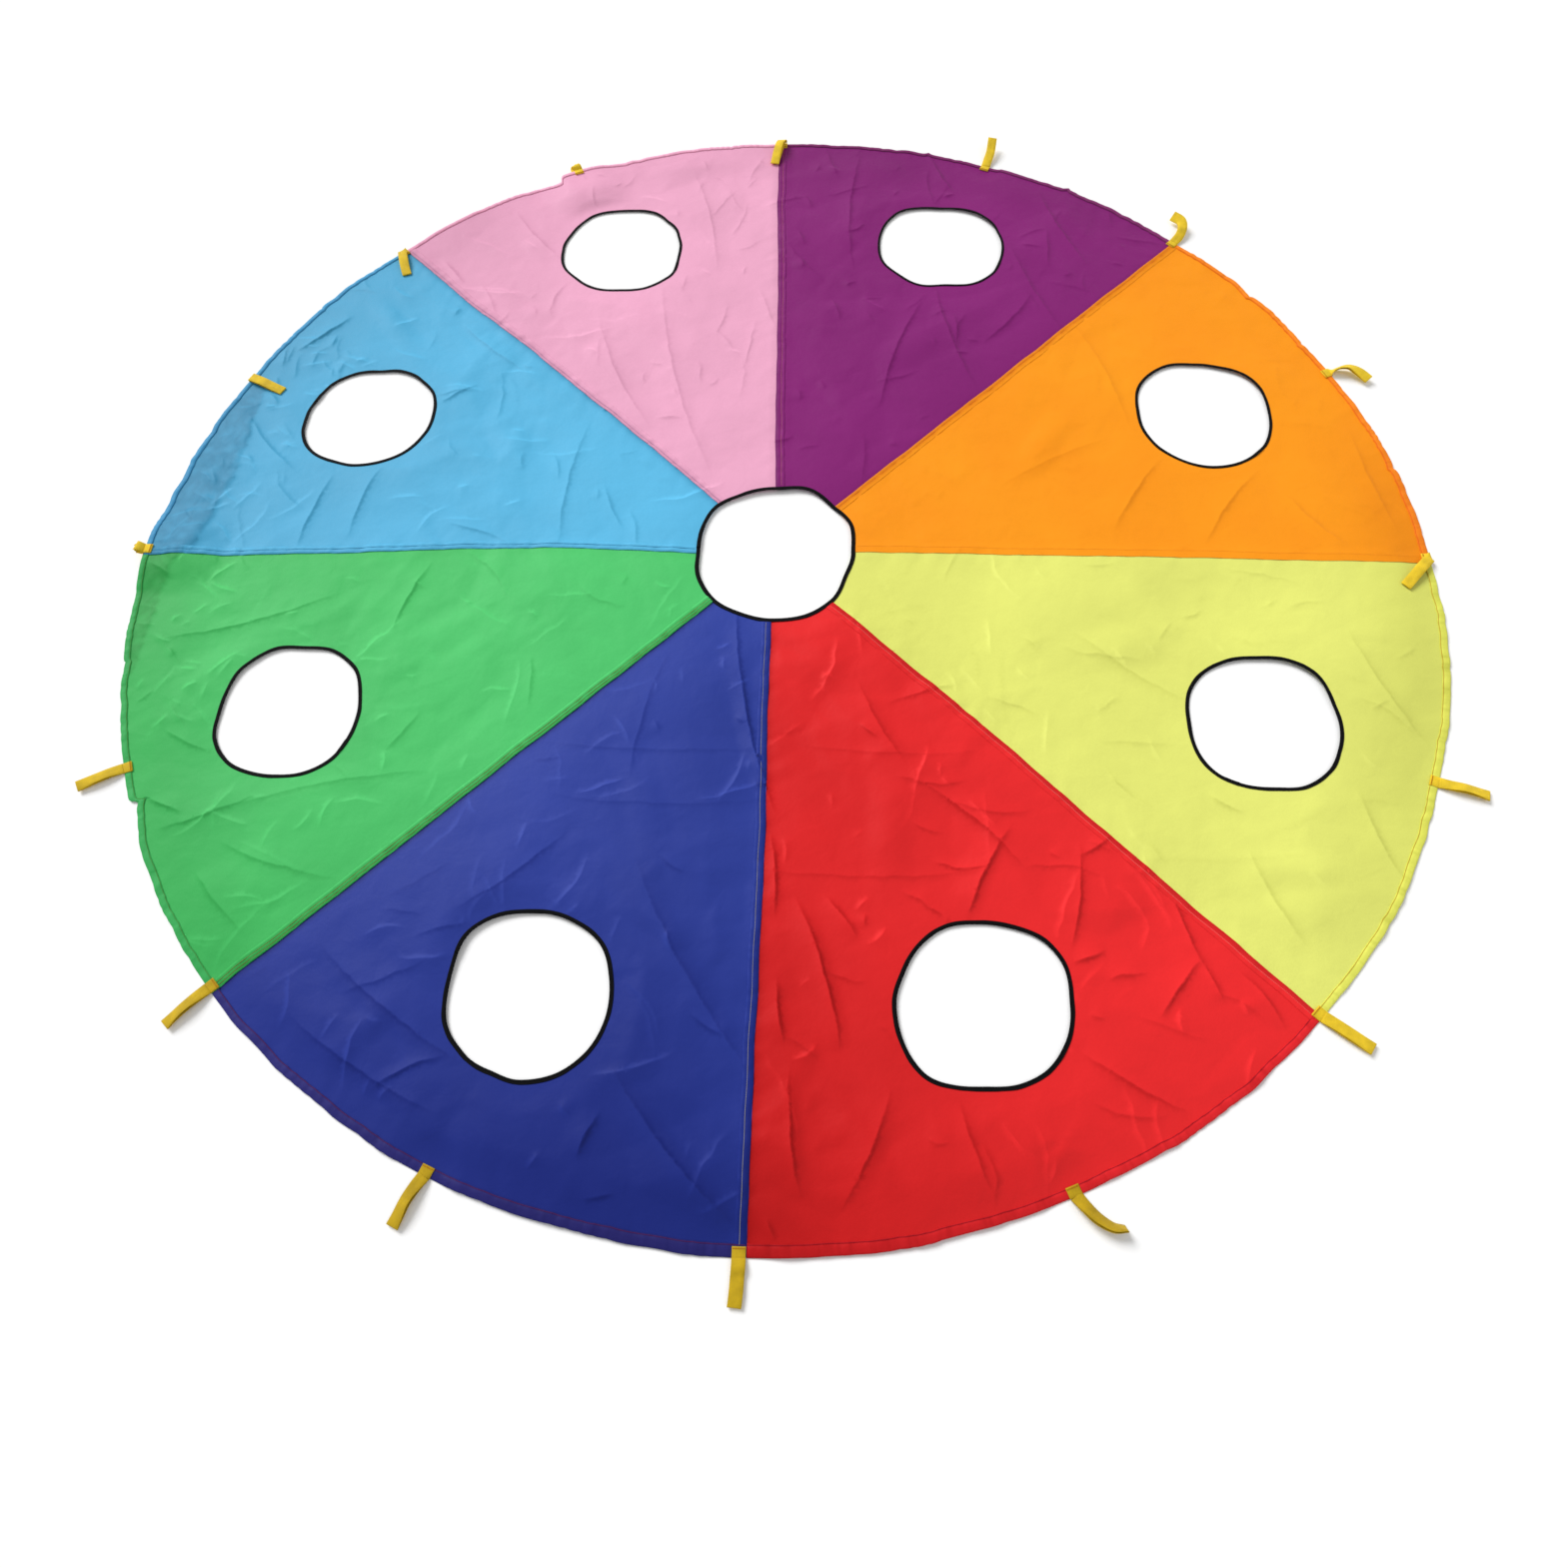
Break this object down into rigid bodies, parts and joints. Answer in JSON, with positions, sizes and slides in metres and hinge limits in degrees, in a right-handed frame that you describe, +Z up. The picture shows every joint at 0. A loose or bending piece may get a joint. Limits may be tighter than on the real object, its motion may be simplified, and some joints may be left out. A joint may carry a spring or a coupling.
{
  "type": "play parachute",
  "caption": "Round play parachute of sewn coloured cloth gores with bound round holes and webbing handle loops, lying spread on the floor.",
  "frame": {"origin": "on the floor under the centre of the canopy, at the centre of the middle hole", "axes": "+Z up, with the canopy lying flat; +X along the seam between the yellow and the orange gore, and +Y along the seam between the purple and the pink gore"},
  "size_m": [3.0547, 3.1437, 0.0203],
  "materials": {
    "cloth_orange": "thin woven nylon with a soft sheen",
    "cloth_purple": "thin woven nylon with a soft sheen",
    "cloth_pink": "thin woven nylon with a soft sheen",
    "cloth_sky_blue": "thin woven nylon with a soft sheen",
    "cloth_green": "thin woven nylon with a soft sheen",
    "cloth_blue": "thin woven nylon with a soft sheen",
    "cloth_red": "thin woven nylon with a soft sheen",
    "cloth_yellow": "thin woven nylon with a soft sheen",
    "tape_black": "matte tape",
    "webbing_yellow": "woven webbing"
  },
  "bodies": {
    "root_half": {"panel_orange": "cloth_orange", "hole_binding_orange": "tape_black", "panel_blue": "cloth_blue", "hole_binding_blue": "tape_black", "panel_red": "cloth_red", "hole_binding_red": "tape_black", "panel_yellow": "cloth_yellow", "hole_binding_yellow": "tape_black", "hole_binding_centre": "tape_black", "handle_root_01": "webbing_yellow", "handle_root_02": "webbing_yellow", "handle_root_03": "webbing_yellow", "handle_root_12": "webbing_yellow", "handle_root_13": "webbing_yellow", "handle_root_14": "webbing_yellow", "handle_root_15": "webbing_yellow", "handle_root_16": "webbing_yellow"},
    "folding_half": {"panel_purple": "cloth_purple", "hole_binding_purple": "tape_black", "panel_pink": "cloth_pink", "hole_binding_pink": "tape_black", "panel_sky_blue": "cloth_sky_blue", "hole_binding_sky_blue": "tape_black", "panel_green": "cloth_green", "hole_binding_green": "tape_black", "handle_root_04": "webbing_yellow", "handle_root_05": "webbing_yellow", "handle_root_06": "webbing_yellow", "handle_root_07": "webbing_yellow", "handle_root_08": "webbing_yellow", "handle_root_09": "webbing_yellow", "handle_root_10": "webbing_yellow", "handle_root_11": "webbing_yellow"},
    "handle_01": {"handle_loop_01": "webbing_yellow"},
    "handle_02": {"handle_loop_02": "webbing_yellow"},
    "handle_03": {"handle_loop_03": "webbing_yellow"},
    "handle_04": {"handle_loop_04": "webbing_yellow"},
    "handle_05": {"handle_loop_05": "webbing_yellow"},
    "handle_06": {"handle_loop_06": "webbing_yellow"},
    "handle_07": {"handle_loop_07": "webbing_yellow"},
    "handle_08": {"handle_loop_08": "webbing_yellow"},
    "handle_09": {"handle_loop_09": "webbing_yellow"},
    "handle_10": {"handle_loop_10": "webbing_yellow"},
    "handle_11": {"handle_loop_11": "webbing_yellow"},
    "handle_12": {"handle_loop_12": "webbing_yellow"},
    "handle_13": {"handle_loop_13": "webbing_yellow"},
    "handle_14": {"handle_loop_14": "webbing_yellow"},
    "handle_15": {"handle_loop_15": "webbing_yellow"},
    "handle_16": {"handle_loop_16": "webbing_yellow"}
  },
  "joints": [
    {"name": "storage_fold", "type": "hinge", "parent": "root_half", "child": "folding_half", "pos_m": [0, 0, 0.0035], "axis": [0.7071, 0.7071, 0], "range_deg": [0, 170], "deforming": ["hole_binding_centre"]},
    {"name": "handle_hinge_01", "type": "hinge", "parent": "root_half", "child": "handle_01", "pos_m": [1.525, 0.0135, 0.00445], "axis": [0, 1, 0], "range_deg": [0, 165]},
    {"name": "handle_hinge_02", "type": "hinge", "parent": "root_half", "child": "handle_02", "pos_m": [1.40892, 0.58359, 0.0039], "axis": [-0.3827, 0.9239, 0], "range_deg": [-165, 0]},
    {"name": "handle_hinge_03", "type": "hinge", "parent": "root_half", "child": "handle_03", "pos_m": [1.08788, 1.06879, 0.0039], "axis": [-0.7071, 0.7071, 0], "range_deg": [-165, 0]},
    {"name": "handle_hinge_04", "type": "hinge", "parent": "folding_half", "child": "handle_04", "pos_m": [0.58359, 1.40892, 0.0039], "axis": [-0.9239, 0.3827, 0], "range_deg": [-165, 0]},
    {"name": "handle_hinge_05", "type": "hinge", "parent": "folding_half", "child": "handle_05", "pos_m": [0.0135, 1.525, 0.00445], "axis": [-1, 0, 0], "range_deg": [0, 165]},
    {"name": "handle_hinge_06", "type": "hinge", "parent": "folding_half", "child": "handle_06", "pos_m": [-0.58359, 1.40892, 0.0199], "axis": [-0.9239, -0.3827, 0], "range_deg": [-172, 0]},
    {"name": "handle_hinge_07", "type": "hinge", "parent": "folding_half", "child": "handle_07", "pos_m": [-1.06879, 1.08788, 0.00445], "axis": [-0.7071, -0.7071, 0], "range_deg": [0, 165]},
    {"name": "handle_hinge_08", "type": "hinge", "parent": "folding_half", "child": "handle_08", "pos_m": [-1.40892, 0.58359, 0.0039], "axis": [-0.3827, -0.9239, 0], "range_deg": [0, 165]},
    {"name": "handle_hinge_09", "type": "hinge", "parent": "folding_half", "child": "handle_09", "pos_m": [-1.525, 0.0135, 0.02045], "axis": [0, -1, 0], "range_deg": [-172, 0]},
    {"name": "handle_hinge_10", "type": "hinge", "parent": "folding_half", "child": "handle_10", "pos_m": [-1.40892, -0.58359, 0.0039], "axis": [0.3827, -0.9239, 0], "range_deg": [-165, 0]},
    {"name": "handle_hinge_11", "type": "hinge", "parent": "folding_half", "child": "handle_11", "pos_m": [-1.08788, -1.06879, 0.00445], "axis": [0.7071, -0.7071, 0], "range_deg": [-165, 0]},
    {"name": "handle_hinge_12", "type": "hinge", "parent": "root_half", "child": "handle_12", "pos_m": [-0.58359, -1.40892, 0.0039], "axis": [0.9239, -0.3827, 0], "range_deg": [-165, 0]},
    {"name": "handle_hinge_13", "type": "hinge", "parent": "root_half", "child": "handle_13", "pos_m": [-0.0135, -1.525, 0.00445], "axis": [1, 0, 0], "range_deg": [-165, 0]},
    {"name": "handle_hinge_14", "type": "hinge", "parent": "root_half", "child": "handle_14", "pos_m": [0.58359, -1.40892, 0.0039], "axis": [0.9239, 0.3827, 0], "range_deg": [-165, 0]},
    {"name": "handle_hinge_15", "type": "hinge", "parent": "root_half", "child": "handle_15", "pos_m": [1.06879, -1.08788, 0.00445], "axis": [0.7071, 0.7071, 0], "range_deg": [-165, 0]},
    {"name": "handle_hinge_16", "type": "hinge", "parent": "root_half", "child": "handle_16", "pos_m": [1.40892, -0.58359, 0.0039], "axis": [0.3827, 0.9239, 0], "range_deg": [-165, 0]}
  ]
}
